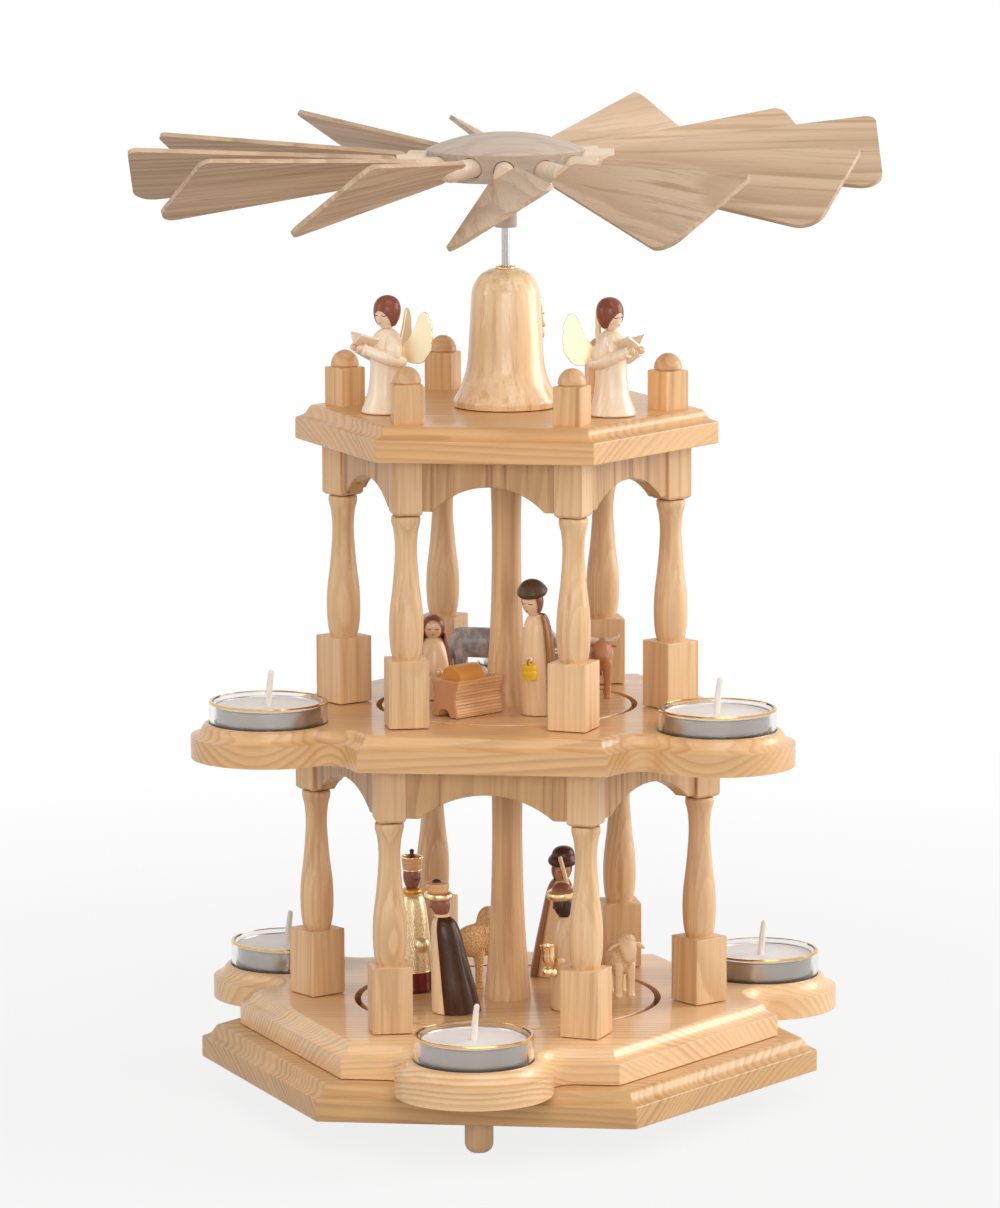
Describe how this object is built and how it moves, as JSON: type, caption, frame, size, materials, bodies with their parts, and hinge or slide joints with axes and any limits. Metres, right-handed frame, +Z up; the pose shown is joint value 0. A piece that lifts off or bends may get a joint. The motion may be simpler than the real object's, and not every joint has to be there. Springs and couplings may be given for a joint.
{
  "type": "candle carousel",
  "caption": "Free-standing wooden tealight stand with stacked hexagonal decks, columns and arcades, and a bladed fan whose shaft turns two tables of figures.",
  "frame": {"origin": "on the axis of the shaft, at the level of the peg feet's flat ends", "axes": "+Z up along the shaft, +Y away from the lower candle arm that is in front in the picture, +X to the right of that arm"},
  "size_m": [0.2806, 0.2796, 0.3724],
  "materials": {
    "varnished_wood": "satin varnish on pale softwood",
    "pale_wood": "sanded, unvarnished",
    "figure_wood": "satin varnish",
    "brown_stained_wood": "brown stain, satin",
    "dark_stained_wood": "black-brown stain, glossy",
    "gold_painted_wood": "gold paint, glossy",
    "steel": "bright",
    "brass": "polished",
    "clear_glass": "clear",
    "wax_in_aluminium": "white wax in a thin aluminium cup"
  },
  "bodies": {
    "stand": {"base_plate": "varnished_wood", "lower_deck": "varnished_wood", "middle_deck": "varnished_wood", "top_deck": "varnished_wood", "lower_arcade": "varnished_wood", "upper_arcade": "varnished_wood", "bell": "varnished_wood", "lower_column_1": "varnished_wood", "lower_column_2": "varnished_wood", "lower_column_3": "varnished_wood", "lower_column_4": "varnished_wood", "lower_column_5": "varnished_wood", "lower_column_6": "varnished_wood", "upper_column_1": "varnished_wood", "upper_column_2": "varnished_wood", "upper_column_3": "varnished_wood", "upper_column_4": "varnished_wood", "upper_column_5": "varnished_wood", "upper_column_6": "varnished_wood", "bearing_cup": "steel", "shaft_bush": "brass", "angel_1": "figure_wood", "angel_2": "figure_wood", "angel_3": "figure_wood"},
    "carousel": {"shaft": "steel", "fan_hub": "pale_wood", "lower_turntable": "varnished_wood", "upper_turntable": "varnished_wood", "gold_king": "gold_painted_wood", "cloaked_king": "dark_stained_wood", "goblet_king": "figure_wood", "herdsman": "brown_stained_wood", "kneeling_woman": "figure_wood", "crib": "figure_wood", "man_with_lantern": "brown_stained_wood", "ox": "brown_stained_wood"},
    "blade_01": {"blade_01": "pale_wood"},
    "blade_02": {"blade_02": "pale_wood"},
    "blade_03": {"blade_03": "pale_wood"},
    "blade_04": {"blade_04": "pale_wood"},
    "blade_05": {"blade_05": "pale_wood"},
    "blade_06": {"blade_06": "pale_wood"},
    "blade_07": {"blade_07": "pale_wood"},
    "blade_08": {"blade_08": "pale_wood"},
    "blade_09": {"blade_09": "pale_wood"},
    "blade_10": {"blade_10": "pale_wood"},
    "blade_11": {"blade_11": "pale_wood"},
    "blade_12": {"blade_12": "pale_wood"},
    "lower_glass_1": {"lower_glass_1": "clear_glass"},
    "lower_glass_2": {"lower_glass_2": "clear_glass"},
    "lower_glass_3": {"lower_glass_3": "clear_glass"},
    "upper_glass_1": {"upper_glass_1": "clear_glass"},
    "upper_glass_2": {"upper_glass_2": "clear_glass"},
    "upper_glass_3": {"upper_glass_3": "clear_glass"},
    "lower_tealight_1": {"lower_tealight_1": "wax_in_aluminium"},
    "lower_tealight_2": {"lower_tealight_2": "wax_in_aluminium"},
    "lower_tealight_3": {"lower_tealight_3": "wax_in_aluminium"},
    "upper_tealight_1": {"upper_tealight_1": "wax_in_aluminium"},
    "upper_tealight_2": {"upper_tealight_2": "wax_in_aluminium"},
    "upper_tealight_3": {"upper_tealight_3": "wax_in_aluminium"}
  },
  "joints": [
    {"name": "carousel_spin", "type": "hinge", "parent": "stand", "child": "carousel", "pos_m": [0, 0, 0.2], "axis": [0, 0, 1], "continuous": true},
    {"name": "blade_01_twist", "type": "hinge", "parent": "carousel", "child": "blade_01", "pos_m": [0, 0, 0.3564], "axis": [0.9908, 0.134, 0.0175], "range_deg": [-30, 30]},
    {"name": "blade_02_twist", "type": "hinge", "parent": "carousel", "child": "blade_02", "pos_m": [0, 0, 0.3564], "axis": [0.7694, 0.6388, 0], "range_deg": [-30, 30]},
    {"name": "blade_03_twist", "type": "hinge", "parent": "carousel", "child": "blade_03", "pos_m": [0, 0, 0.3564], "axis": [0.3794, 0.9251, 0.0175], "range_deg": [-30, 30]},
    {"name": "blade_04_twist", "type": "hinge", "parent": "carousel", "child": "blade_04", "pos_m": [0, 0, 0.3564], "axis": [-0.1339, 0.9904, -0.0349], "range_deg": [-30, 30]},
    {"name": "blade_05_twist", "type": "hinge", "parent": "carousel", "child": "blade_05", "pos_m": [0, 0, 0.3564], "axis": [-0.5692, 0.822, -0.0175], "range_deg": [-30, 30]},
    {"name": "blade_06_twist", "type": "hinge", "parent": "carousel", "child": "blade_06", "pos_m": [0, 0, 0.3564], "axis": [-0.9311, 0.363, -0.0349], "range_deg": [-30, 30]},
    {"name": "blade_07_twist", "type": "hinge", "parent": "carousel", "child": "blade_07", "pos_m": [0, 0, 0.3564], "axis": [-0.9904, -0.1339, -0.0349], "range_deg": [-30, 30]},
    {"name": "blade_08_twist", "type": "hinge", "parent": "carousel", "child": "blade_08", "pos_m": [0, 0, 0.3564], "axis": [-0.78, -0.6249, -0.0349], "range_deg": [-30, 30]},
    {"name": "blade_09_twist", "type": "hinge", "parent": "carousel", "child": "blade_09", "pos_m": [0, 0, 0.3564], "axis": [-0.3467, -0.9373, -0.0349], "range_deg": [-30, 30]},
    {"name": "blade_10_twist", "type": "hinge", "parent": "carousel", "child": "blade_10", "pos_m": [0, 0, 0.3564], "axis": [0.0991, -0.9926, -0.0698], "range_deg": [-30, 30]},
    {"name": "blade_11_twist", "type": "hinge", "parent": "carousel", "child": "blade_11", "pos_m": [0, 0, 0.3564], "axis": [0.61, -0.7893, -0.0698], "range_deg": [-30, 30]},
    {"name": "blade_12_twist", "type": "hinge", "parent": "carousel", "child": "blade_12", "pos_m": [0, 0, 0.3564], "axis": [0.9179, -0.3953, -0.0349], "range_deg": [-30, 30]},
    {"name": "lower_glass_1_lift", "type": "slide", "parent": "stand", "child": "lower_glass_1", "axis": [0, 0, 1], "range_m": [0, 0.04]},
    {"name": "lower_tealight_1_lift", "type": "slide", "parent": "lower_glass_1", "child": "lower_tealight_1", "axis": [0, 0, 1], "range_m": [0, 0.03]},
    {"name": "lower_glass_2_lift", "type": "slide", "parent": "stand", "child": "lower_glass_2", "axis": [0, 0, 1], "range_m": [0, 0.04]},
    {"name": "lower_tealight_2_lift", "type": "slide", "parent": "lower_glass_2", "child": "lower_tealight_2", "axis": [0, 0, 1], "range_m": [0, 0.03]},
    {"name": "lower_glass_3_lift", "type": "slide", "parent": "stand", "child": "lower_glass_3", "axis": [0, 0, 1], "range_m": [0, 0.04]},
    {"name": "lower_tealight_3_lift", "type": "slide", "parent": "lower_glass_3", "child": "lower_tealight_3", "axis": [0, 0, 1], "range_m": [0, 0.03]},
    {"name": "upper_glass_1_lift", "type": "slide", "parent": "stand", "child": "upper_glass_1", "axis": [0, 0, 1], "range_m": [0, 0.04]},
    {"name": "upper_tealight_1_lift", "type": "slide", "parent": "upper_glass_1", "child": "upper_tealight_1", "axis": [0, 0, 1], "range_m": [0, 0.03]},
    {"name": "upper_glass_2_lift", "type": "slide", "parent": "stand", "child": "upper_glass_2", "axis": [0, 0, 1], "range_m": [0, 0.04]},
    {"name": "upper_tealight_2_lift", "type": "slide", "parent": "upper_glass_2", "child": "upper_tealight_2", "axis": [0, 0, 1], "range_m": [0, 0.03]},
    {"name": "upper_glass_3_lift", "type": "slide", "parent": "stand", "child": "upper_glass_3", "axis": [0, 0, 1], "range_m": [0, 0.04]},
    {"name": "upper_tealight_3_lift", "type": "slide", "parent": "upper_glass_3", "child": "upper_tealight_3", "axis": [0, 0, 1], "range_m": [0, 0.03]}
  ]
}
